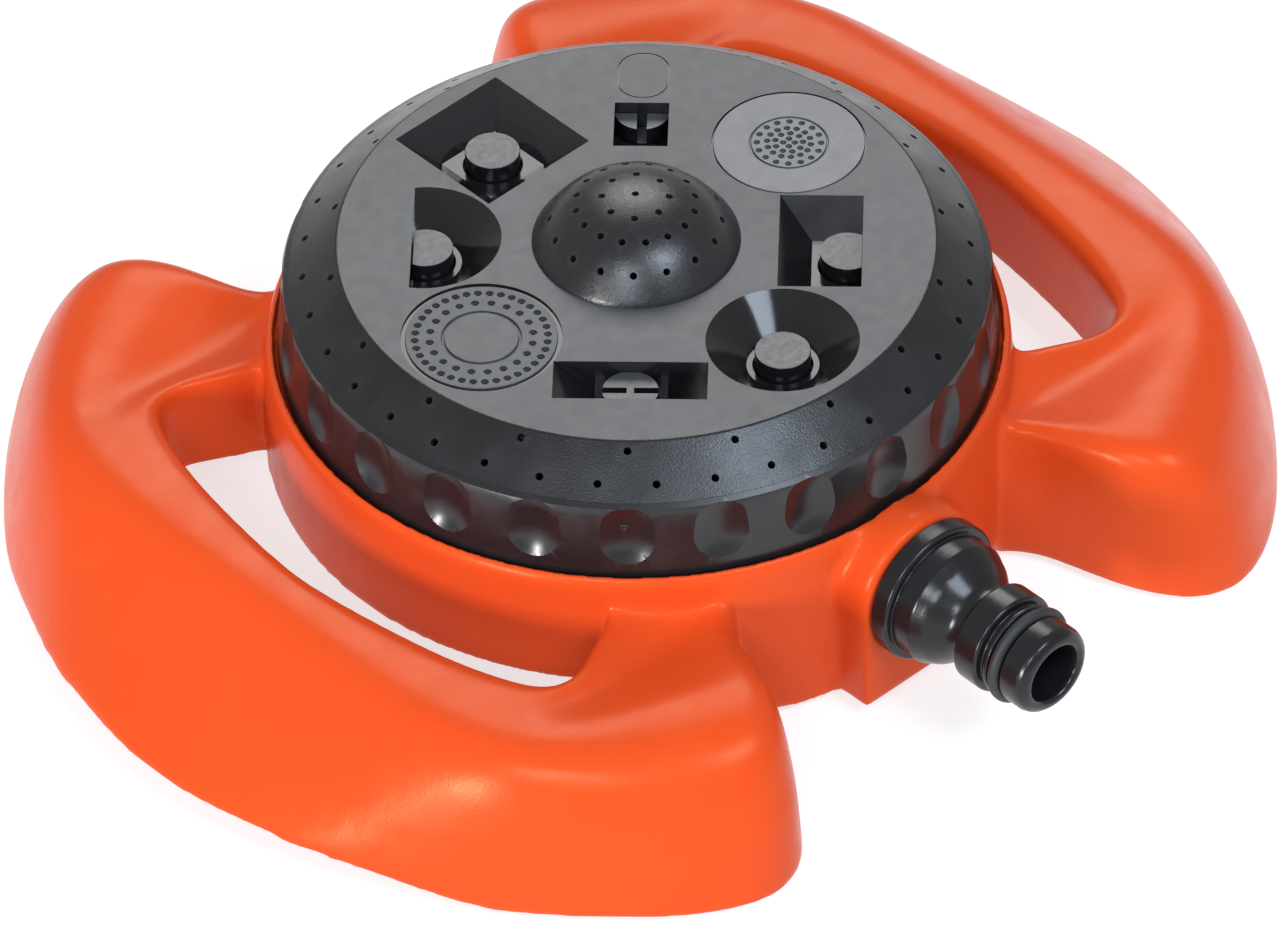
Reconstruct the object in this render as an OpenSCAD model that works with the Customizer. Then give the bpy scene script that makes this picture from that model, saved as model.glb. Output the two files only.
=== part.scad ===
// Rotary-dial lawn sprinkler: a wide moulded base with two arched wings, a hose
// connector on -Y, and a turning dial whose eight windows and dome each throw
// one spray pattern. Origin: on the dial's axis, on the ground. +Z is up.

/* [Dial] */
// Radius of the dial's grip ring at its foot
dial_r = 58.9; // [58.5:0.1:59]
// Radius of the grip ring at its shoulder
shoulder_r = 58.0; // [57.5:0.1:58.3]
// Radius of the flat face
face_r = 48.5; // [48:0.1:49]
// Height of the flat face above the ground
face_z = 53.2; // [53:0.1:53.4]
// Height of the fine seam between the cap and the grip ring
seam_z = 46.8; // [46.5:0.1:47]
// Thickness of the cap's face
face_t = 2.4; // [2:0.1:2.6]
// Number of thumb recesses round the grip ring
grip_count = 24; // [18:1:30]
// Depth of each thumb recess
grip_depth = 1.5; // [1:0.1:1.6]

/* [Windows] */
// Radius of the circle that the window centres lie on
pitch_r = 34.3; // [34:0.1:34.6]
// Radius of the round windows at the face
round_r = 12.45; // [12:0.05:12.6]
// Half side of the square window at the face
square_half = 11.2; // [11:0.1:11.4]
// Half width of the strip windows
strip_half = 4.45; // [4.2:0.05:4.6]
// How far below the face the window floors lie
floor_drop = 5.3; // [5:0.1:5.5]
// Half width of the window floors
floor_half = 5.9; // [5.8:0.1:6.1]
// Radius of the nozzle posts
post_r = 4.55; // [4.4:0.05:4.6]
// How far below the face the post tops lie
post_drop = 2.2; // [2:0.1:2.5]
// Water gap round each post
slit = 0.4; // [0.3:0.05:0.5]
// Distance from the dial's axis to the flat wall of the half-circle window
cut_half = 36.4; // [36.2:0.1:36.6]
// Distance from the dial's axis to the flat wall of the quarter window
cut_quarter = 36.7; // [36.4:0.1:36.8]
// Distance from the dial's axis to the flat wall of the slot window
cut_slot = 33.9; // [33.7:0.1:34.1]

/* [Spray holes] */
// Holes in the inner rim row
rim_inner_count = 18; // [12:1:24]
// Holes in the outer rim row
rim_outer_count = 36; // [24:1:40]
// Radius of one rim hole
rim_hole_r = 0.65; // [0.5:0.05:0.8]
// Radius of the dome at the face
dome_r = 17; // [16.5:0.1:17.2]
// Height of the dome above the face
dome_h = 9.8; // [9.5:0.1:10.2]
// Radius of one dome hole
dome_hole_r = 0.6; // [0.5:0.05:0.8]

/* [Base] */
// Height of the lip round the dial
lip_z = 33.6; // [33.4:0.1:33.8]
// Height of the deck under the dial
deck_z = 31.5; // [31.2:0.1:31.6]
// Radius of the body wall at the lip
lip_r = 60.6; // [60.4:0.1:60.8]
// Radius of the body wall at its foot
wall_r = 61.4; // [61.2:0.1:61.6]
// Thickness of the moulded walls
wall_t = 2.4; // [2.2:0.1:2.6]
// Height of the wings' flat band
wing_z = 28; // [27.8:0.1:28.2]
// Height of the wings' inner edge above the ground
wing_under_z = 9; // [8:0.5:10]

/* [Hose connector] */
// Height of the connector's axis
inlet_z = 21.5; // [21.3:0.1:21.7]
// Distance from the dial's axis to the boss's front face
boss_y = 67.2; // [67:0.1:67.4]
// Half width of the boss
boss_half = 13.2; // [13:0.1:13.4]
// Radius of the collar that a hose coupling locks behind
collar_r = 8.8; // [8.7:0.05:8.9]
// Radius of the water way through the connector
water_r = 5.1; // [5:0.05:5.2]

/* [Hidden] */
$fn = 64;
fit_gap = 0.05;                       // radial clearance of a running fit
dial_gap = 0.5;                       // clearance between the dial and the base
dial_z = deck_z + dial_gap;           // underside of the dial
plate_z = dial_z + 0.6;               // underside of the distribution plate
plate_top = plate_z + 4;
ring_r = 55.6;                        // joint between cap skirt and grip ring
floor_z = face_z - floor_drop;
cup_z = floor_z - 1.6;                // underside of the window floors
post_z = face_z - post_drop;
port_r = 5;
window_step = 45;
rim_slope = atan2(face_z - seam_z, ring_r + 1 - face_r);
mist_r = 12.4;
ring_disc_r = 12.3;
inner_disc_r = 6.5;
spindle_r = 8;
bearing_z = 20;                       // underside of the dial's bearing
seal_r = 7.6;
plunger_r = 5.4;
click_floor_z = 17;                   // floor of the click pocket
spring_h = 8;                         // pressed height of the click spring
head_h = 2.2;                         // height of the plunger's round head
cover_t = 2.5;
skirt_r = 45.6;
screw_r = 1.6;
post_screw_r = 46.4;                  // pitch of the screws under the dial
post_count = 4;
post_start = 22.5;                    // the screw posts stand between the windows
cover_screw_r = 38;
collar_y = 82.3;
nose_y = 97.2;

orange = "#e8542a";
black = "#26262a";
grey = "#828486";
rubber = "#1a1a1a";
steel = "#b9bcc0";
white = "#e9e9e4";

// ---------------------------------------------------------------- helpers

// Places a child at a window: local X runs outwards, local Y anticlockwise.
module at_window(angle, r = pitch_r) {
    rotate([0, 0, angle]) translate([r, 0, 0]) children();
}

module tube(r_out, r_in, h) {
    difference() {
        cylinder(r = r_out, h = h);
        translate([0, 0, -1]) cylinder(r = r_in, h = h + 2);
    }
}

module around(count, r, start = 0) {
    for (i = [0 : count - 1])
        rotate([0, 0, start + 360 * i / count]) translate([r, 0, 0]) children();
}

// A cylinder with ball ends, standing on end with its middle at the origin.
module capsule(r, half) {
    rotate_extrude() intersection() {
        union() {
            translate([0, half]) circle(r);
            translate([0, -half]) circle(r);
            translate([-r, -half]) square([2 * r, 2 * half]);
        }
        translate([0, -half - r - 1]) square([r + 1, 2 * (half + r + 1)]);
    }
}

// A round wire along a helix, as one closed surface.
module coil(r, wire, height, turns) {
    sides = 8;
    steps = turns * 16;
    rings = [for (i = [0 : steps])
        let (a = 360 * turns * i / steps, z = wire + (height - 2 * wire) * i / steps)
        [for (k = [0 : sides - 1])
            let (b = 360 * k / sides, q = r + wire * cos(b))
            [q * cos(a), q * sin(a), z + wire * sin(b)]]];
    loft(rings);
}

// Joins rings of equal length, one after another, into a closed solid.
module loft(rings) {
    n = len(rings[0]);
    last = len(rings) - 1;
    points = [for (ring = rings) for (p = ring) p];
    sides = [for (i = [0 : last - 1]) for (k = [0 : n - 1])
        let (a = i * n + k, b = i * n + (k + 1) % n)
        each [[a, a + n, b + n], [a, b + n, b]]];
    ends = [[for (k = [0 : n - 1]) k], [for (k = [n - 1 : -1 : 0]) last * n + k]];
    polyhedron(points, concat(sides, ends), convexity = 8);
}

// ---------------------------------------------------------------- wings

// Control curves of one quarter of the base, from the middle of the arm (y = 0)
// round the foot and back into the body wall. All have the same number of points.
inner_edge = [[74.5, 0], [73.3, 14], [70.5, 30], [67, 41], [63.6, 46.4], [58.8, 47.3],
    [53.5, 45], [49, 42.8], [45, 41.5], [41, 41.6], [38.5, 42], [35.5, 42.2], [31.5, 42.5],
    [27, 42]];
valley = [[78.5, 0, 28], [78, 13.5, 28], [76.3, 29.5, 28], [73.3, 41.5, 28],
    [69.8, 47.5, 27.7], [64.2, 50.8, 26.4], [57, 52, 25.6], [49.8, 52, 25.3],
    [43.5, 52, 25.4], [39.5, 52.3, 25.7], [36.3, 52.2, 26.2], [33.7, 51.8, 26.9],
    [31, 50, 27.6], [27, 46, 28]];
ridge = [[82.5, 0, 28], [82.6, 13, 28], [82, 29, 28], [79.8, 42, 28],
    [76.2, 51, 27.8], [69.5, 56.3, 27.7], [60.5, 60.6, 28], [51.5, 64.2, 28.5],
    [45, 66.8, 28.9], [41.4, 66.2, 28.9], [38.7, 63.2, 28.6], [36.4, 59.5, 28.2],
    [34, 55.8, 28], [28, 50.5, 28]];
foot_line = [[109.2, 0, 4.5], [107.7, 14, 4.5], [103.5, 30, 4.2], [97.8, 42, 2.6],
    [89.2, 57.3, 0], [78.5, 70.3, 0], [67.7, 80.6, 0], [56.6, 87, 0], [47.8, 87.1, 0],
    [42.2, 82.9, 0], [38.2, 76, 0], [35.6, 68, 0], [33.2, 60, 0], [28, 52.5, 0]];
// How far each outer slope bulges: 1 is straight, more is rounder.
bulge = [1.3, 1.35, 1.5, 2, 2.6, 3.4, 4, 4.8, 5.5, 5.5, 5.5, 5, 4.5, 4];

wing_steps = 3;                       // rings between two control points
slope_steps = 8;                      // points down the outer slope

function mix(a, b, t) = a + (b - a) * t;
function pick(curve, i) = curve[max(0, min(len(curve) - 1, i))];
function mirrored(p) = is_num(p) ? p
    : [for (k = [0 : len(p) - 1]) k == 1 ? -p[k] : p[k]];
// The point before the first is the second one's mirror image, so the arm is smooth at y = 0.
function before(curve, i) = i < 0 ? mirrored(curve[-i]) : pick(curve, i);
function smooth_at(curve, i, t) =
    let (a = before(curve, i - 1), b = pick(curve, i), c = pick(curve, i + 1),
        d = pick(curve, i + 2))
    0.5 * (2 * b + (c - a) * t + (2 * a - 5 * b + 4 * c - d) * t * t
        + (3 * b - a - 3 * c + d) * t * t * t);

// One ring round the shell's section: up the inner wall, over the band, the
// valley and the ridge, down the outer slope, and back the same way inside.
function section(i, t) =
    let (e = smooth_at(inner_edge, i, t), v = smooth_at(valley, i, t),
        r = smooth_at(ridge, i, t), f = smooth_at(foot_line, i, t),
        p = smooth_at(bulge, i, t),
        out = [f[0] - e[0], f[1] - e[1]] / norm([f[0] - e[0], f[1] - e[1]]),
        side = [f[0] - r[0], f[1] - r[1]] / norm([f[0] - r[0], f[1] - r[1]]),
        z = max(f[2], 0),
        w = wall_t,
        slope = [for (k = [1 : slope_steps]) let (s = k / slope_steps)
            [mix(r[0], f[0], s), mix(r[1], f[1], s), z + (r[2] - z) * (1 - pow(s, p))]],
        inner_slope = [for (k = [slope_steps : -1 : 1])
            let (s = k / slope_steps, back = w * 1.25)
            [mix(r[0], f[0], s) - back * side[0], mix(r[1], f[1], s) - back * side[1],
                max(z, z + (r[2] - w * 0.6 - z) * (1 - pow(s, p)))]])
    concat(
        [[e[0] - 0.8 * out[0], e[1] - 0.8 * out[1], wing_under_z], [e[0], e[1], wing_z],
            [v[0], v[1], v[2]], [r[0], r[1], r[2]]],
        slope, inner_slope,
        [[r[0] - w * side[0], r[1] - w * side[1], r[2] - w],
            [v[0], v[1], v[2] - w],
            [e[0] + w * out[0], e[1] + w * out[1], min(v[2], wing_z) - w],
            [e[0] + (w - 0.8) * out[0], e[1] + (w - 0.8) * out[1], wing_under_z]]);

half_wing = [for (i = [0 : len(ridge) - 2]) for (k = [0 : wing_steps - 1])
    section(i, k / wing_steps)];
wing_rings = concat(
    [for (i = [len(half_wing) - 1 : -1 : 1]) [for (p = half_wing[i]) [p[0], -p[1], p[2]]]],
    half_wing);

module wings() {
    for (turn = [0, 180]) rotate([0, 0, turn]) loft(wing_rings);
}

// ---------------------------------------------------------------- base body

module body_wall() {
    rotate_extrude($fn = 128) polygon([[lip_r - 1.05, deck_z - wall_t],
        [wall_r - wall_t, deck_z - wall_t - 3], [wall_r - wall_t, 1.5], [wall_r, 1.5],
        [wall_r, 12], [lip_r + 0.4, lip_z - 1.4], [lip_r, lip_z - 0.4],
        [lip_r - 0.35, lip_z], [lip_r - 1.05, lip_z]]);
}

module boss_outline(grow = 0) {
    circle(boss_half + grow);
    translate([-boss_half - grow, 2.3 - inlet_z])
        square([2 * (boss_half + grow), inlet_z - 2.3]);
}

// Draws a child's outline upright, reaching from depth y0 to y1 on the -Y side.
module toward_hose(y0, y1) {
    translate([0, -y0, inlet_z]) rotate([90, 0, 0]) linear_extrude(y1 - y0) children();
}

module base_shell() {
    color(orange) difference() {
        union() {
            difference() {
                wings();
                translate([0, 0, -1]) cylinder(r = lip_r - 0.5, h = 40, $fn = 128);
            }
            difference() {
                body_wall();
                // crescents: the body wall is cut short beside the wings' arms
                for (s = [-1, 1]) translate([s * 60 - 16, -41.4, -1])
                    cube([32, 82.8, 13]);
            }
            translate([0, 0, deck_z - wall_t]) cylinder(r = lip_r - 0.8, h = wall_t);
            // tub round the water way, closed below by the bottom cover
            translate([0, 0, cover_t]) tube(skirt_r, skirt_r - 2, deck_z - cover_t - 1);
            // dial bearing, click pocket and screw posts
            translate([0, 0, bearing_z]) cylinder(r = 13.5, h = deck_z - bearing_z);
            translate([0, pitch_r, 15]) cylinder(r = plunger_r + 2.4, h = deck_z - 15);
            around(4, cover_screw_r, 45) translate([0, 0, cover_t])
                cylinder(r = 4.2, h = deck_z - cover_t - 1);
            // boss for the hose connector, cut away where the dial turns over it
            difference() {
                toward_hose(skirt_r - 0.5, boss_y) boss_outline();
                translate([0, 0, deck_z - 0.3]) cylinder(r = lip_r - 0.9, h = 10, $fn = 128);
            }
        }
        // inside of the boss, below the deck, and the seat of the connector
        intersection() {
            toward_hose(skirt_r - 3, boss_y - 4.5) boss_outline(-wall_t);
            translate([-boss_half, -boss_y, 0])
                cube([2 * boss_half, boss_y, deck_z - wall_t]);
        }
        toward_hose(skirt_r - 3, boss_y + 1) circle(10.05);
        // bearing for the bush, with a recess for the spindle's washer
        translate([0, 0, bearing_z - 1]) cylinder(r = 10, h = 20);
        // click pocket
        translate([0, pitch_r, click_floor_z]) cylinder(r = plunger_r + fit_gap, h = 20);
        // opening over the water duct
        translate([0, -pitch_r, deck_z - 10]) cylinder(r = 11, h = 20);
        around(4, cover_screw_r, 45) translate([0, 0, -1]) cylinder(r = screw_r, h = 20);
    }
}

module bottom_cover() {
    color(black) difference() {
        union() {
            cylinder(r = skirt_r, h = cover_t, $fn = 128);
            translate([0, 0, cover_t]) tube(skirt_r - 2.1, skirt_r - 4, 2.5);
        }
        around(4, cover_screw_r, 45) {
            translate([0, 0, -1]) cylinder(r = screw_r + 0.3, h = 10);
            translate([0, 0, -1]) cylinder(r = 3.4, h = 2.2);
            translate([0, 0, cover_t]) cylinder(r = 4.3, h = 10);
        }
        // drain holes
        around(6, 22, 30) translate([0, 0, -1]) cylinder(r = 2.5, h = 10);
    }
}

module pan_screw(length, head_r, head_h) {
    difference() {
        union() {
            cylinder(r = screw_r, h = length);
            cylinder(r = head_r, h = head_h);
        }
        for (turn = [0, 90]) rotate([0, 0, turn])
            translate([-1.5, -0.35, -1]) cube([3, 0.7, 1.7]);
    }
}

module cover_screws() {
    color(steel) around(4, cover_screw_r, 45) translate([0, 0, 0.3]) pan_screw(15, 2.9, 0.9);
}

module spindle_bush() {
    color(white) translate([0, 0, bearing_z]) {
        tube(10, spindle_r + fit_gap, deck_z - bearing_z);
    }
}

// Elbow that carries the water from the connector up to the port seal.
module water_duct() {
    color(black) difference() {
        union() {
            translate([0, -pitch_r, 13]) cylinder(r = 10.9, h = deck_z - 13);
            toward_hose(pitch_r, 53.5) circle(8.2);
        }
        translate([0, -pitch_r, 21]) cylinder(r = seal_r + fit_gap, h = 20);
        translate([0, -pitch_r, 15.5]) cylinder(r = 5.6, h = 20);
        toward_hose(pitch_r, 54) circle(water_r);
    }
}

// ---------------------------------------------------------------- hose connector

// Half outline of the connector, as radius against distance from the dial's axis.
module connector_outline() {
    polygon([[water_r, 55], [9.95, 55], [9.95, boss_y], [12.3, boss_y],
        [12.3, boss_y + 2.9], [11.9, boss_y + 3.3], [10.9, boss_y + 3.3], [10.9, 73.9],
        [10.4, 74.9], [9.7, 76.4], [8.5, 78], [7.5, 79.4], [7.1, 80.6], [7.1, 81.5],
        [7.5, 82], [8.3, collar_y], [collar_r, collar_y + 0.4], [collar_r, 87],
        [8.4, 87.4], [7.4, 87.5], [7.4, 88.4], [8.1, 88.5], [8.1, 89.3], [6.6, 89.4],
        [6.6, 91.9], [7.75, 92], [7.75, 95.2], [7.4, 96.3], [6.6, 97], [6, nose_y],
        [water_r + 0.5, nose_y], [water_r, 96.7]]);
}

module inlet_connector() {
    color(black) translate([0, 0, inlet_z]) rotate([90, 0, 0])
        rotate_extrude($fn = 96) connector_outline();
}

module inlet_washer() {
    color(rubber) toward_hose(53.5, 55) difference() {
        circle(8.2);
        circle(water_r);
    }
}

module coupling_o_ring() {
    color(rubber) translate([0, -90.65, inlet_z]) rotate([90, 0, 0])
        rotate_extrude($fn = 96) translate([7.65, 0]) circle(1);
}

// ---------------------------------------------------------------- valve and click

module seal_spring() {
    color(steel) translate([0, -pitch_r, 21]) coil(6.2, 0.4, 4.4, 3);
}

// Spring-loaded cup that seals the duct against the plate's port.
module port_seal() {
    color(white) translate([0, -pitch_r, 0]) difference() {
        union() {
            translate([0, 0, 25.4]) cylinder(r = seal_r, h = 5.6);
            translate([0, 0, 31]) cylinder(r = seal_r - 1, h = plate_z - 0.3 - 31);
        }
        translate([0, 0, 20]) cylinder(r = 4.6, h = 20);
    }
}

module click_spring() {
    color(steel) translate([0, pitch_r, click_floor_z]) coil(3.6, 0.5, spring_h, 5);
}

// Plunger whose round head clicks up into the port opposite the inlet. It is drawn
// pressed down, as it is while the dial turns between two ports.
module click_plunger() {
    head_z = plate_z - 0.3;
    color(white) translate([0, pitch_r, 0]) {
        translate([0, 0, click_floor_z + spring_h]) cylinder(r = plunger_r, h = head_z
            - head_h - click_floor_z - spring_h);
        translate([0, 0, head_z - head_h]) intersection() {
            cylinder(r = 4.2, h = 3);
            translate([0, 0, head_h - 4.8]) sphere(r = 4.8);
        }
    }
}

// ---------------------------------------------------------------- dial

// A funnel cut: wide at the face, narrow at its floor. Local X runs outwards.
module round_funnel() {
    drop = floor_drop;
    translate([0, 0, floor_z])
        cylinder(r1 = floor_half, r2 = round_r + 0.1 * (round_r - floor_half) / drop,
            h = drop + 0.1, $fn = 96);
}

module square_funnel(half_x, half_y, floor_x, floor_y) {
    hull() {
        translate([-floor_x, -floor_y, floor_z]) cube([2 * floor_x, 2 * floor_y, 0.01]);
        translate([-half_x, -half_y, face_z]) cube([2 * half_x, 2 * half_y, 0.1]);
    }
}

// Keeps what lies inboard of the radius where a window is cut off.
module inboard(limit) {
    intersection() {
        children();
        translate([-30, -30, 30]) cube([30 + limit - pitch_r, 60, 40]);
    }
}

module window_cuts() {
    at_window(-90) round_funnel();
    at_window(135) inboard(cut_half) round_funnel();
    at_window(90) square_funnel(square_half, square_half, floor_half, floor_half);
    at_window(-45) inboard(cut_quarter)
        square_funnel(square_half, square_half, floor_half, floor_half);
    at_window(-135) square_funnel(strip_half, round_r, strip_half, floor_half);
    at_window(45) inboard(cut_slot)
        square_funnel(square_half, strip_half, floor_half, strip_half);
}

// Cups under the face that carry the funnels.
module window_cups() {
    h = face_z - face_t - cup_z + 0.5;
    translate([0, 0, cup_z]) {
        at_window(-90) cylinder(r = 10.5, h = h);
        at_window(135) cylinder(r = 10.5, h = h);
        at_window(90) translate([-9.5, -9.5, 0]) cube([19, 19, h]);
        at_window(-45) translate([-9.5, -9.5, 0]) cube([19, 19, h]);
        at_window(-135) translate([-8, -11, 0]) cube([16, 22, h]);
        at_window(45) translate([-10, -8, 0]) cube([18, 16, h]);
    }
}

core_angles = [-135, -90, -45, 45, 90, 135];

module rim_holes() {
    row = [[rim_inner_count, 50, 5], [rim_outer_count, 54.3, 0]];
    for (r = row) around(r[0], r[1], r[2])
        translate([0, 0, face_z - (r[1] - face_r) * tan(rim_slope)])
            rotate([0, rim_slope, 0]) translate([0, 0, -3.4]) cylinder(r = rim_hole_r, h = 6);
}

module dial_cap() {
    color(grey) difference() {
        union() {
            rotate_extrude($fn = 128) polygon([[dome_r - 2.5, face_z - face_t],
                [face_r - 0.8, face_z - face_t], [53.2, seam_z + 0.6], [53.2, plate_top],
                [ring_r - 0.1, plate_top], [ring_r - 0.1, seam_z - 0.6],
                [ring_r + 1.1, seam_z], [face_r + 0.5, face_z - 0.25], [face_r, face_z],
                [dome_r - 2.5, face_z]]);
            window_cups();
            around(post_count, post_screw_r, post_start) translate([0, 0, plate_top])
                cylinder(r = 3.4, h = face_z - face_t - plate_top + 0.2);
        }
        window_cuts();
        for (a = core_angles) at_window(a) translate([0, 0, 40])
            cylinder(r = post_r + slit, h = floor_z - 40 + 0.05);
        at_window(0) translate([0, 0, 40]) cylinder(r = mist_r + fit_gap, h = 20);
        // each disc lies in a shallow groove
        at_window(0) translate([0, 0, face_z - 0.4]) cylinder(r = mist_r + 0.3, h = 2);
        at_window(180) {
            translate([0, 0, 40]) cylinder(r = ring_disc_r + fit_gap, h = 20);
            translate([0, 0, face_z - 0.35]) cylinder(r = 13.1, h = 2);
        }
        rim_holes();
        around(post_count, post_screw_r, post_start) translate([0, 0, plate_top - 1])
            cylinder(r = screw_r, h = 10);
        // moulded mark outboard of the slot window
        at_window(45, 40.8) translate([0, 0, face_z - 0.2]) linear_extrude(1) difference() {
            offset(r = 4) square([3.3, 0.5], center = true);
            offset(r = 3.8) square([3.3, 0.5], center = true);
        }
    }
}

module grip_ring() {
    recess_r = 9.5;
    color(black) difference() {
        rotate_extrude($fn = 128) polygon([[ring_r, dial_z], [dial_r, dial_z],
            [dial_r, lip_z], [shoulder_r, 45.2], [shoulder_r - 0.4, 46.2],
            [ring_r + 1.15, seam_z], [ring_r, seam_z - 0.6]]);
        around(grip_count, dial_r - 0.4 - grip_depth + recess_r)
            translate([0, 0, 42.2]) capsule(recess_r, 1.2);
    }
}

// Height of the dome over the face at radius r, as a share of the way a from crown
// (0 degrees) to rim (90): an ellipse that falls away sooner near the rim.
function dome_rise(h, a) = h * cos(a) * (1 - 0.68 * pow(sin(a), 6));

module dome_rose() {
    steps = 18;
    arc = [for (i = [0 : steps]) let (a = 90 * i / steps)
        [dome_r * sin(a), face_z + dome_rise(dome_h, a)]];
    inner = [for (i = [steps : -1 : 0]) let (a = 90 * i / steps)
        [(dome_r - 3.2) * sin(a), face_z + dome_rise(dome_h - 2, a)]];
    // rows of holes: how many, radius, start angle and lean
    row = [[1, 0, 0, 0], [8, 5.45, 0, 11], [16, 9.8, 11.25, 27], [16, 14, 0, 48]];
    color(black) difference() {
        union() {
            rotate_extrude($fn = 96) polygon(concat(arc, inner));
            // spigot that seats in the cap
            translate([0, 0, face_z - face_t - 2]) tube(dome_r - 2.55, dome_r - 4.4,
                face_t + 2.5);
        }
        for (r = row) {
            z = face_z + dome_rise(dome_h, asin(r[1] / dome_r));
            around(r[0], r[1], r[2] - 45) translate([0, 0, z]) rotate([0, r[3], 0])
                translate([0, 0, -4]) cylinder(r = dome_hole_r, h = 6, $fn = 24);
        }
    }
}

// A flush disc in the face: a plain rim, a round groove, and pits in rings, each
// with a fine jet through its floor.
module spray_disc(r, rings, groove, pit_r) {
    translate([0, 0, face_z - face_t - 1]) difference() {
        cylinder(r = r, h = face_t + 1, $fn = 96);
        translate([0, 0, face_t + 0.6]) tube(inner_disc_r, inner_disc_r - groove, 2);
        for (ring = rings) around(ring[0], ring[1], ring[2]) {
            translate([0, 0, -1]) cylinder(r = 0.3, h = 10);
            translate([0, 0, face_t + 0.55]) cylinder(r = pit_r, h = 2);
        }
    }
}

module mist_disc() {
    color(grey) at_window(0) spray_disc(mist_r,
        [[16, 5.25, 0], [14, 3.6, 0], [9, 2.3, 0], [4, 0.95, 45]], 0.35, 0.55);
}

module ring_disc() {
    color(grey) at_window(180) spray_disc(ring_disc_r,
        [[36, 10.75, 0], [20, 8.4, 0]], 0.5, 0.65);
}

// Lower flange that clips a core under its window floor, with water slots.
module core_foot() {
    translate([0, 0, cup_z - 2]) difference() {
        cylinder(r = 7.2, h = 1.9);
        for (turn = [0, 90]) rotate([0, 0, turn])
            translate([-1.4, -8, -1]) cube([2.8, 16, 4]);
    }
    translate([0, 0, cup_z - 2]) cylinder(r = post_r, h = 2);
}

module core_post() {
    translate([0, 0, cup_z - 0.5]) cylinder(r = post_r, h = post_z - cup_z + 0.5, $fn = 96);
}

module plain_core(angle) {
    color(grey) at_window(angle) {
        core_post();
        core_foot();
    }
}

// A core whose post is cut off flat where its window ends.
module trimmed_core(angle, limit) {
    color(grey) at_window(angle) {
        inboard(limit - 0.1) core_post();
        core_foot();
    }
}

module full_circle_core() { plain_core(-90); }
module square_core() { plain_core(90); }
module quarter_core() { trimmed_core(-45, cut_quarter); }
module half_circle_core() { trimmed_core(135, cut_half); }

module strip_core() {
    color(grey) difference() {
        union() {
            at_window(-135) intersection() {
                core_post();
                translate([-strip_half + 0.1, -10, 30]) cube([2 * strip_half - 0.2, 20, 40]);
            }
            at_window(-135) core_foot();
        }
        // fan slot, with a bridge left across its middle
        at_window(-135) for (s = [-1, 1])
            translate([-0.65, s * 2.9 - 2.3, post_z - 3]) cube([1.3, 4.6, 10]);
    }
}

module slot_core() {
    color(grey) difference() {
        union() {
            at_window(45) inboard(cut_slot - 0.1) core_post();
            at_window(45) core_foot();
        }
        at_window(45) translate([-8, -0.8, post_z - 3]) cube([16, 1.6, 10]);
    }
}

module distribution_plate() {
    color(black) difference() {
        union() {
            translate([0, 0, plate_z]) cylinder(r = ring_r - 0.1, h = 4, $fn = 128);
            // one riser from each port to its window
            for (a = core_angles) at_window(a) translate([0, 0, plate_top - 0.5])
                cylinder(r = 8.6, h = cup_z - 2.1 - plate_top + 0.5);
            for (a = [0, 180]) at_window(a) translate([0, 0, plate_top - 0.5])
                cylinder(r = 13.6, h = face_z - face_t - 1.1 - plate_top + 0.5);
            translate([0, 0, plate_top - 0.5]) cylinder(r = 12, h = 6);
            translate([0, 0, bearing_z - 0.4]) cylinder(r = spindle_r, h = 20);
            translate([0, 0, dial_z]) cylinder(r = 12, h = 2);
        }
        for (k = [0 : 7]) at_window(window_step * k) translate([0, 0, plate_z - 1])
            cylinder(r = port_r, h = 30);
        for (a = core_angles) at_window(a) translate([0, 0, plate_top])
            cylinder(r = 6.8, h = 30);
        for (a = [0, 180]) at_window(a) translate([0, 0, plate_top])
            cylinder(r = 11.8, h = 30);
        translate([0, 0, bearing_z - 1]) cylinder(r = 2.5, h = 16);
        around(post_count, post_screw_r, post_start) {
            translate([0, 0, plate_z - 1]) cylinder(r = screw_r + 0.2, h = 10);
            translate([0, 0, plate_z - 1]) cylinder(r = 3.1, h = 2.4);
        }
        rotate_extrude() translate([54, plate_top - 0.9]) square([1, 2]);
    }
}

module plate_gasket() {
    color(rubber) rotate_extrude($fn = 96) translate([54.05, plate_top - 0.9])
        square([0.9, 0.9]);
}

module plate_screws() {
    color(steel) around(post_count, post_screw_r, post_start) translate([0, 0, plate_z + 0.2])
        pan_screw(11, 2.8, 1.2);
}

module spindle_screw() {
    color(steel) translate([0, 0, bearing_z - 3.6]) {
        translate([0, 0, 2]) cylinder(r = 2.45, h = 14);
        difference() {
            cylinder(r = 5.2, h = 2);
            translate([0, 0, -1]) cylinder(r = 2.2, h = 2.2, $fn = 6);
        }
    }
}

module spindle_washer() {
    color(steel) translate([0, 0, bearing_z - 1.6]) tube(9.8, 2.6, 1.2);
}

base_shell();
bottom_cover();
cover_screws();
spindle_bush();
water_duct();
inlet_connector();
inlet_washer();
coupling_o_ring();
seal_spring();
click_spring();
port_seal();
click_plunger();
dial_cap();
grip_ring();
dome_rose();
mist_disc();
ring_disc();
full_circle_core();
quarter_core();
half_circle_core();
square_core();
strip_core();
slot_core();
distribution_plate();
plate_gasket();
plate_screws();
spindle_screw();
spindle_washer();
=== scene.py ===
"""Looks of the rotary-dial lawn sprinkler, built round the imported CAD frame. Metres."""
import math

import bmesh
import bpy
import numpy as np
from mathutils import Matrix, Vector


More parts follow.
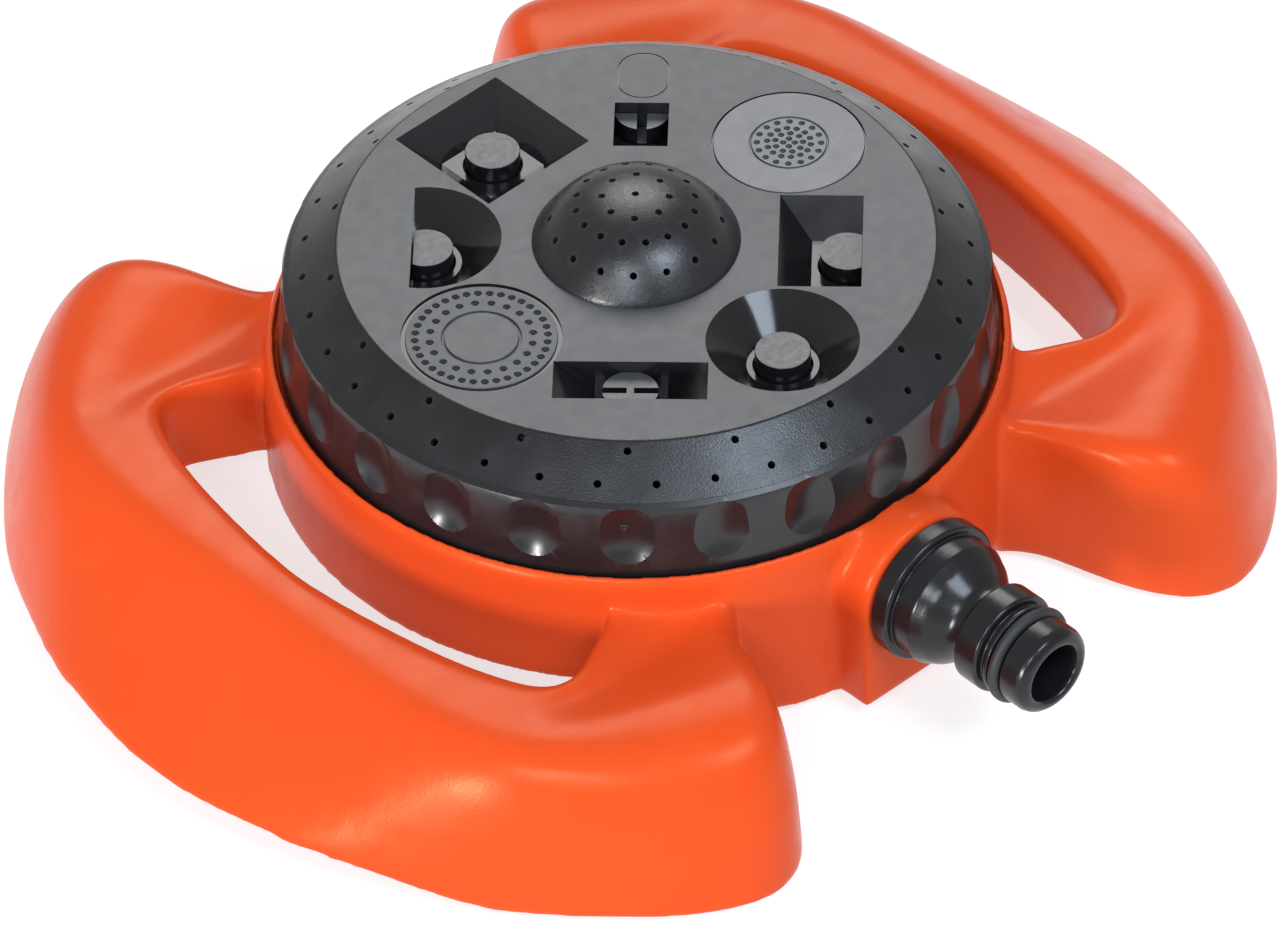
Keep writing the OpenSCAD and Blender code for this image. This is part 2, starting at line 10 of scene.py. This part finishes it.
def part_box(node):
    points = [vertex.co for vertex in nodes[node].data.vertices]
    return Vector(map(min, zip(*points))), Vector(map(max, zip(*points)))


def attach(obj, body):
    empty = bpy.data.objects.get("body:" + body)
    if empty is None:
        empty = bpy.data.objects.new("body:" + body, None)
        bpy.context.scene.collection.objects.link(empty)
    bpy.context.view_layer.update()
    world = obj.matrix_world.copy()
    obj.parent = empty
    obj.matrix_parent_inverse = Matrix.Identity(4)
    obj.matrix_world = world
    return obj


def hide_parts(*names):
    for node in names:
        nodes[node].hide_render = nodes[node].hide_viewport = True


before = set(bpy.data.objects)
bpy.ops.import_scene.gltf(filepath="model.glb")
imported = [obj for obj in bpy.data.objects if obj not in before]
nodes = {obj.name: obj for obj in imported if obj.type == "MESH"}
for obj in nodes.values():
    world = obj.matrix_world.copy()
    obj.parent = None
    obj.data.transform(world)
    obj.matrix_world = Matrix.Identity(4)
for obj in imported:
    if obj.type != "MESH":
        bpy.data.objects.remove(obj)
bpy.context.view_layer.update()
scene = bpy.context.scene
scene.view_settings.view_transform = "Standard"
MM = 0.001

# ---------------------------------------------------------------- camera

CAMERA_AT = Vector((-1.2124, -1.3160, 1.6229))
AXES = (Vector((0.7355, -0.6775, 0)), Vector((0.4547, 0.4937, 0.7413)),
        Vector((0.5022, 0.5452, -0.6712)))        # right, up and forward
ROLL = math.radians(1.09)
LENS, SENSOR = 413.1, 36


def add_camera():
    right, up, forward = (a.normalized() for a in AXES)
    right, up = (math.cos(ROLL) * right - math.sin(ROLL) * up,
                 math.sin(ROLL) * right + math.cos(ROLL) * up)
    data = bpy.data.cameras.new("camera")
    data.lens, data.sensor_width = LENS, SENSOR
    data.clip_start, data.clip_end = 0.1, 20
    camera = bpy.data.objects.new("camera", data)
    scene.collection.objects.link(camera)
    camera.matrix_world = Matrix((
        (right.x, up.x, -forward.x, CAMERA_AT.x),
        (right.y, up.y, -forward.y, CAMERA_AT.y),
        (right.z, up.z, -forward.z, CAMERA_AT.z),
        (0, 0, 0, 1)))
    scene.camera = camera


# ---------------------------------------------------------------- materials


class Mat:
    """A procedural material: a Principled shader and short calls that add its detail."""

    def __init__(self, name, colour, rough, sockets=()):
        self.mat = bpy.data.materials.new(name)
        self.mat.use_nodes = True
        self.tree = self.mat.node_tree
        self.shader = self.tree.nodes["Principled BSDF"]
        self.colour, self.rough = colour, rough
        for socket, value in sockets:
            self.shader.inputs[socket].default_value = value
        self.place = self.node("ShaderNodeTexCoord").outputs["Object"]
        self.bumps = None

    def node(self, kind, **values):
        n = self.tree.nodes.new(kind)
        for key, value in values.items():
            setattr(n, key, value)
        return n

    def join(self, a, b):
        self.tree.links.new(a, b)

    def noise(self, per_metre, detail=3.0, stretch=None):
        n = self.node("ShaderNodeTexNoise")
        n.inputs["Scale"].default_value = per_metre
        n.inputs["Detail"].default_value = detail
        source = self.place
        if stretch:
            m = self.node("ShaderNodeMapping")
            m.inputs["Scale"].default_value = stretch
            self.join(source, m.inputs["Vector"])
            source = m.outputs["Vector"]
        self.join(source, n.inputs["Vector"])
        return n.outputs["Fac"]

    def ramp(self, fac, stops):
        r = self.node("ShaderNodeValToRGB")
        while len(r.color_ramp.elements) < len(stops):
            r.color_ramp.elements.new(0.5)
        for element, (at, colour) in zip(r.color_ramp.elements, stops):
            element.position = at
            element.color = (*colour, 1) if hasattr(colour, "__len__") else (colour,) * 3 + (1,)
        self.join(fac, r.inputs["Fac"])
        return r.outputs["Color"]

    def mix(self, fac, a, b):
        """Colour a where fac is 0 and b where it is 1."""
        m = self.node("ShaderNodeMix", data_type="RGBA")
        # a Mix node has its colour sockets after those for numbers and vectors
        for socket, value in ((m.inputs[0], fac), (m.inputs[6], a), (m.inputs[7], b)):
            if isinstance(value, bpy.types.NodeSocket):
                self.join(value, socket)
            elif hasattr(value, "__len__"):
                socket.default_value = (*value, 1)
            else:
                socket.default_value = value
        return m.outputs[2]  # the colour

    def near(self, axis, at, half):
        """1 where the object coordinate along axis (0, 1 or 2) lies within half of at."""
        xyz = self.node("ShaderNodeSeparateXYZ")
        self.join(self.place, xyz.inputs["Vector"])
        compare = self.node("ShaderNodeMath", operation="COMPARE")
        compare.inputs[1].default_value, compare.inputs[2].default_value = at, half
        self.join(xyz.outputs[axis], compare.inputs[0])
        return compare.outputs["Value"]

    def bump(self, height, strength, distance):
        """Adds a bump on top of the earlier ones."""
        b = self.node("ShaderNodeBump")
        b.inputs["Strength"].default_value = strength
        b.inputs["Distance"].default_value = distance
        self.join(height, b.inputs["Height"])
        if self.bumps is not None:
            self.join(self.bumps, b.inputs["Normal"])
        self.bumps = b.outputs["Normal"]

    def finish(self, spread=0.08, wear=0.25, patches=30.0, grain=2500.0, grain_depth=0.00004,
               rough_spread=0.06):
        """Colour variation, worn edges, uneven roughness and a fine moulded grain."""
        dark = [c * (1 - spread) for c in self.colour]
        light = [min(1, c * (1 + spread)) for c in self.colour]
        colour = self.ramp(self.noise(patches), [(0.3, dark), (0.7, light)])
        if wear:
            edge = self.ramp(self.node("ShaderNodeNewGeometry").outputs["Pointiness"],
                             [(0.52, 0.0), (0.62, 1.0)])
            scuffed = self.mix(wear, self.colour, [min(1, c * 1.35 + 0.03) for c in self.colour])
            colour = self.mix(edge, colour, scuffed)
        self.join(colour, self.shader.inputs["Base Color"])
        rough = self.ramp(self.noise(patches * 6, 5.0),
                          [(0.25, max(0.02, self.rough - rough_spread)),
                           (0.75, self.rough + rough_spread)])
        self.join(rough, self.shader.inputs["Roughness"])
        if grain:
            self.bump(self.noise(grain, 2.0), 1.0, grain_depth)
        if self.bumps is not None:
            self.join(self.bumps, self.shader.inputs["Normal"])
        return self.mat


ORANGE = (0.585, 0.057, 0.010)
BLACK = (0.0080, 0.0076, 0.0086)
HIGH, LOW = (1, 1, 1), (0, 0, 0)                  # heights for a bump

# the fine parting line across the flat band of the left arm: where it is, and half its size
LINE_X, LINE_Y = -76.5 * MM, -8.7 * MM
LINE_HALF_X, LINE_HALF_Y = 2.2 * MM, 0.11 * MM

orange = Mat("orange_plastic", ORANGE, 0.29,
             [("Specular Tint", (1, 0.82, 0.45, 1)), ("IOR", 1.27)])
parting = orange.mix(orange.near(1, LINE_Y, LINE_HALF_Y), HIGH, LOW)
orange.bump(orange.mix(orange.near(0, LINE_X, LINE_HALF_X), HIGH, parting), 0.8, 0.00012)
orange = orange.finish(spread=0.035, wear=0.12, grain=1800, grain_depth=0.00002)
black = Mat("black_plastic", BLACK, 0.38).finish(spread=0.2, wear=0.3)
# the face's grey, lighter than the cap's black plastic, is painted sheen: it adds to the real
# sheen the back softbox gives the flat face and the ring disc
face = Mat("face_plastic", (0.045, 0.046, 0.048), 0.42).finish(
    spread=0.08, wear=0.15, patches=60, grain=3200, grain_depth=0.00003, rough_spread=0.03)
disc = Mat("disc_plastic", (0.085, 0.086, 0.089), 0.36).finish(
    spread=0.08, wear=0.15, patches=80, grain=3200, grain_depth=0.00002, rough_spread=0.03)
rim = Mat("rim_plastic", BLACK, 0.32, [("IOR", 1.44)]).finish(
    spread=0.15, wear=0.25, grain=3000)
gloss = Mat("funnel_plastic", BLACK, 0.13, [("IOR", 1.42)]).finish(
    spread=0.15, wear=0.1, grain=2500, grain_depth=0.000002, rough_spread=0.03)
grip = Mat("grip_plastic", BLACK, 0.28).finish(
    spread=0.15, wear=0.2, grain=1200, grain_depth=0.000006, rough_spread=0.04)
dome_skin = Mat("dome_plastic", (0.009, 0.009, 0.010), 0.28).finish(
    spread=0.12, wear=0.3, patches=120, grain=3400, grain_depth=0.00005)
# core_plastic's grey, lighter than the black, is painted sheen: it goes on the posts' upward
# faces only
core = Mat("core_plastic", (0.04, 0.041, 0.043), 0.36).finish(
    spread=0.1, wear=0.2, patches=150, grain=3000, grain_depth=0.00002)
connector_skin = Mat("connector_plastic", BLACK, 0.24, [("IOR", 1.38)])
connector_skin.bump(connector_skin.noise(900, 2.0, stretch=(0.02, 1, 0.02)), 0.6, 0.00004)
connector_skin = connector_skin.finish(spread=0.2, wear=0.3, grain=2400, grain_depth=0.00001)
white = Mat("white_plastic", (0.72, 0.72, 0.68), 0.3).finish(spread=0.03, wear=0.0, grain=1500)
rubber = Mat("rubber", (0.014, 0.014, 0.015), 0.6).finish(spread=0.25, wear=0.2, grain=2200)
steel = Mat("steel", (0.55, 0.55, 0.57), 0.25, [("Metallic", 1.0)])
steel.bump(steel.noise(1500, 2.0, stretch=(1, 1, 0.05)), 0.3, 0.00002)
steel = steel.finish(spread=0.06, wear=0.0, grain=0)

# ---------------------------------------------------------------- pieces

WELD, SLIVER = 0.002 * MM, 0.001 * MM             # corners and edges this small are closed up
FLAT_ANGLE = math.radians(0.4)                    # a face that bends less than this is flat
SHARP_ANGLE, BEVEL_ANGLE = 32, 28                 # degrees


def paint(node, mat):
    """Gives a CAD node that is shown as it is a material."""
    data = nodes[node].data
    data.materials.clear()
    data.materials.append(mat)


def smooth(obj, angle=SHARP_ANGLE, shortest=None):
    """Smooth shading that breaks at edges sharper than angle degrees. With shortest (mm),
    sharp edges longer than that are weighted for a bevel instead."""
    mesh = obj.data
    bm = bmesh.new()
    bm.from_mesh(mesh)
    weight = bm.edges.layers.float.new("bevel_weight_edge")
    limit = math.radians(angle)
    for f in bm.faces:
        f.smooth = True
    for e in bm.edges:
        sharp = len(e.link_faces) == 2 and e.calc_face_angle(0) > limit
        to_bevel = sharp and shortest is not None and e.calc_length() > shortest * MM
        e[weight] = float(to_bevel)
        e.smooth = not sharp or to_bevel
    bm.to_mesh(mesh)
    bm.free()


def copy_of(node, name, merge=True):
    """A new object with the CAD node's mesh, welded. merge joins each flat face's triangles."""
    bm = bmesh.new()
    bm.from_mesh(nodes[node].data)
    bmesh.ops.remove_doubles(bm, verts=bm.verts, dist=WELD)
    bmesh.ops.dissolve_degenerate(bm, dist=SLIVER, edges=bm.edges)
    if merge:
        bmesh.ops.dissolve_limit(bm, angle_limit=FLAT_ANGLE, verts=bm.verts, edges=bm.edges)
    mesh = bpy.data.meshes.new(name)
    bm.to_mesh(mesh)
    bm.free()
    obj = bpy.data.objects.new(name, mesh)
    scene.collection.objects.link(obj)
    return obj


def applied(obj):
    """obj with its modifiers worked into its mesh."""
    graph = bpy.context.evaluated_depsgraph_get()
    mesh = bpy.data.meshes.new_from_object(obj.evaluated_get(graph))
    obj.modifiers.clear()
    obj.data = mesh
    return obj


def bevelled(obj, width, shortest, segments):
    """Rounds obj's sharp edges, but not the short ones round small holes."""
    smooth(obj, BEVEL_ANGLE, shortest)
    b = obj.modifiers.new("bevel", "BEVEL")
    b.width, b.segments = width * MM, segments
    b.limit_method = "WEIGHT"
    b.use_clamp_overlap = True
    w = obj.modifiers.new("normals", "WEIGHTED_NORMAL")
    w.keep_sharp = True
    return applied(obj)


def put(obj, body, slot, *replaced):
    """Lets obj ride on a body, in place of the CAD nodes it replaces. slot is not used."""
    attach(obj, body)
    if replaced:
        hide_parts(*replaced)
    return obj


def detailed(node, name, body, slot, mats, width=0.2, pick=None, shortest=0.45, segments=2):
    """A copy of a CAD node in its place, with bevels of width mm on its sharp edges longer than
    shortest mm. pick says which of mats a face takes."""
    obj = copy_of(node, name)
    for m in mats:
        obj.data.materials.append(m)
    if pick:
        for poly in obj.data.polygons:
            poly.material_index = pick(poly.center / MM, poly.normal)
    if width:
        bevelled(obj, width, shortest, segments)
    else:
        smooth(obj)
    return put(obj, body, slot, node)


# ---------------------------------------------------------------- the orange base

FINE_VOXEL = 0.55 * MM
VOXEL = FINE_VOXEL
BASE_TRIANGLES = 150000
PULL = 0.5                                        # share of the way to the neighbours' mean


def rise(value, start, over):
    """0 up to start (mm), 1 from start + over, and a slope between."""
    return np.clip((value - start * MM) / (over * MM), 0, 1)


def base_body():
    """The base, remeshed fine and relaxed, so that its edges are moulded fillets."""
    obj = copy_of("base_shell", "base_moulding", merge=False)
    r = obj.modifiers.new("voxels", "REMESH")
    r.mode, r.voxel_size, r.use_smooth_shade = "VOXEL", VOXEL, True
    applied(obj)
    mesh = obj.data
    count = len(mesh.vertices)
    co = np.empty(count * 3)
    mesh.vertices.foreach_get("co", co)
    co = co.reshape(-1, 3)
    edges = np.empty(len(mesh.edges) * 2, int)
    mesh.edges.foreach_get("vertices", edges)
    a, b = edges.reshape(-1, 2).T
    degree = np.bincount(a, minlength=count) + np.bincount(b, minlength=count)
    radius = np.hypot(co[:, 0], co[:, 1])
    # the wings are rounder than the thin lip and the works under the deck, and roundest on top;
    # their foot is evened out, but the boss between them keeps its crisp foot
    wing = rise(radius, 60, 4)
    crest = wing * rise(co[:, 2], 12, 8)
    foot = wing * (1 - rise(co[:, 2], 6, 4)) * rise(abs(co[:, 0]), 20, 4)
    fewer = (FINE_VOXEL / VOXEL) ** 2             # a coarse mesh needs fewer rounds
    for rounds, share in ((10, 0.3 + 0.7 * wing), (50, crest), (80, foot)):
        for _ in range(int(rounds * fewer)):
            total = np.stack([np.bincount(a, co[b, k], count) + np.bincount(b, co[a, k], count)
                              for k in range(3)], axis=1)
            co += (PULL * share)[:, None] * (total / degree[:, None] - co)
    mesh.vertices.foreach_set("co", co.ravel())
    mesh.update()
    d = obj.modifiers.new("thin", "DECIMATE")
    d.ratio = min(1, BASE_TRIANGLES / (2 * len(mesh.polygons)))
    applied(obj)
    for poly in obj.data.polygons:
        poly.use_smooth = True
    obj.data.materials.append(orange)
    return put(obj, "base", "orange_plastic", "base_shell")


# ---------------------------------------------------------------- the dial

# the dial's face, in mm like the CAD
FACE_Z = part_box("mist_disc")[1].z / MM
FACE_R = 48.5
WINDOW_DEPTH = 8
MARGIN = 0.5                                      # slack at the face's edge

# the broken-off moulding gate: where it stands on the grip ring, and its outline as
# (radius, distance out of the recess), in mm
NUB_ANGLE = math.radians(-135.4)
NUB_R, NUB_Z = 57.0, 41.8
NUB_OUTLINE = ((0.9, -0.5), (0.78, 0.12), (0.5, 0.22), (0.42, 0.5), (0.2, 0.62))
NUB_TORN = 0.09                                   # how uneven its torn end is
NUB_SIDES = 16


def cap_part(at, normal):
    """Which of the cap's surfaces a face belongs to: 0 flat face, 1 rim, 2 inside a window."""
    r = math.hypot(at.x, at.y)
    # only the upward flat face takes the lighter grey face material: painted sheen on the black
    # cap
    if at.z > FACE_Z - 0.1 and normal.z > 0.95 and r < FACE_R + MARGIN:
        return 0
    if r < FACE_R - MARGIN and at.z > FACE_Z - WINDOW_DEPTH:
        return 2
    return 1


def gate_nub():
    """The broken-off moulding gate in the thumb recess at the front of the grip ring."""
    out = Vector((math.cos(NUB_ANGLE), math.sin(NUB_ANGLE), 0))
    side, up = Vector((-out.y, out.x, 0)), Vector((0, 0, 1))
    centre = out * NUB_R + up * NUB_Z
    bm = bmesh.new()
    rings = []
    for k, (r, height) in enumerate(NUB_OUTLINE):
        ring = []
        for i in range(NUB_SIDES):
            a = 2 * math.pi * i / NUB_SIDES
            torn = NUB_TORN * math.sin(3 * a) if k > 2 else 0
            at = centre + out * (height + torn) + side * r * math.cos(a) + up * r * math.sin(a)
            ring.append(bm.verts.new(at * MM))
        rings.append(ring)
    for low, high in zip(rings, rings[1:]):
        for i in range(NUB_SIDES):
            j = (i + 1) % NUB_SIDES
            bm.faces.new((low[i], low[j], high[j], high[i]))
    bm.faces.new(rings[-1])
    bm.faces.new(rings[0][::-1])
    mesh = bpy.data.meshes.new("gate_nub")
    bm.to_mesh(mesh)
    bm.free()
    obj = bpy.data.objects.new("gate_nub", mesh)
    scene.collection.objects.link(obj)
    mesh.materials.append(grip)
    smooth(obj, 40)
    put(obj, "dial", "grip_plastic")


base_body()
gate_nub()
detailed("dial_cap", "dial_cap_moulding", "dial", "black_plastic", [face, rim, gloss],
         pick=cap_part)
detailed("grip_ring", "grip_ring_moulding", "dial", "grip_plastic", [grip], width=0.45,
         segments=3)
detailed("dome_rose", "dome_moulding", "dial", "dome_plastic", [dome_skin], width=0)
detailed("mist_disc", "mist_disc_moulding", "dial", "disc_plastic", [disc], width=0.08)
detailed("ring_disc", "ring_disc_moulding", "dial", "disc_plastic", [face], width=0.08)
# each post's upward faces take the lighter core material as painted sheen; its sides take the
# glossy black
for name in ("full_circle", "quarter", "half_circle", "square", "strip", "slot"):
    detailed(f"{name}_core", f"{name}_post", "dial", "core_plastic", [core, gloss], width=0.15,
             shortest=0.2, pick=lambda at, normal: 0 if normal.z > 0.5 else 1)
detailed("inlet_connector", "connector_turning", "base", "connector_plastic",
         [connector_skin], shortest=0.2)

for node, mat in (("bottom_cover", black), ("cover_screws", steel), ("spindle_bush", white),
                  ("water_duct", black), ("inlet_washer", rubber), ("coupling_o_ring", rubber),
                  ("seal_spring", steel), ("click_spring", steel), ("port_seal", white),
                  ("click_plunger", white), ("distribution_plate", black),
                  ("plate_gasket", rubber), ("plate_screws", steel), ("spindle_screw", steel),
                  ("spindle_washer", steel)):
    paint(node, mat)

# ---------------------------------------------------------------- floor and light

FLOOR_HALF, FLOOR_Z = 6.0, -0.2 * MM              # just clear of the feet and the bottom cover
LIT_AT = Vector((0, 0, 0.04))                     # what the lamps point at


def add_floor():
    mesh = bpy.data.meshes.new("floor")
    corners = ((-1, -1), (1, -1), (1, 1), (-1, 1))
    mesh.from_pydata([(x * FLOOR_HALF, y * FLOOR_HALF, FLOOR_Z) for x, y in corners],
                     [], [(0, 1, 2, 3)])
    floor = bpy.data.objects.new("floor", mesh)
    scene.collection.objects.link(floor)
    paper = Mat("floor_paper", (0.4, 0.4, 0.4), 0.9,
                [("Specular IOR Level", 0.0), ("Emission Color", (1, 1, 1, 1)),
                 ("Emission Strength", 0.7)])
    mesh.materials.append(paper.finish(spread=0.01, wear=0.0, patches=3, grain=0))


def softbox(name, direction, distance, width, height, radiance, tint=(1, 1, 1)):
    """A soft area light, distance away in a direction. radiance is what a mirror of it shows."""
    data = bpy.data.lights.new(name, "AREA")
    data.shape, data.size, data.size_y = "RECTANGLE", width, height
    data.energy = radiance * math.pi * width * height
    data.color = tint
    lamp = bpy.data.objects.new(name, data)
    scene.collection.objects.link(lamp)
    out = Vector(direction).normalized()
    lamp.location = LIT_AT + out * distance
    lamp.rotation_mode = "QUATERNION"
    lamp.rotation_quaternion = out.to_track_quat("Z", "Y")


def add_light():
    world = bpy.data.worlds.new("studio")
    world.use_nodes = True
    scene.world = world
    sky = world.node_tree.nodes["Background"]
    sky.inputs["Color"].default_value = (1, 1, 1, 1)
    sky.inputs["Strength"].default_value = 0.5
    softbox("back_softbox", (0.502, 0.545, 0.671), 1.5, 0.62, 0.62, 6.0)
    softbox("front_softbox", (0.02, -0.64, 0.77), 1.8, 0.70, 0.70, 14.0, (0.72, 0.84, 1.0))
    softbox("left_softbox", (-0.97, -0.18, 0.17), 1.6, 0.14, 0.34, 110.0)
    softbox("key_softbox", (-0.65, -0.43, 0.63), 2.6, 0.8, 0.7, 17.0, (0.78, 0.88, 1.0))


add_camera()
add_floor()
add_light()
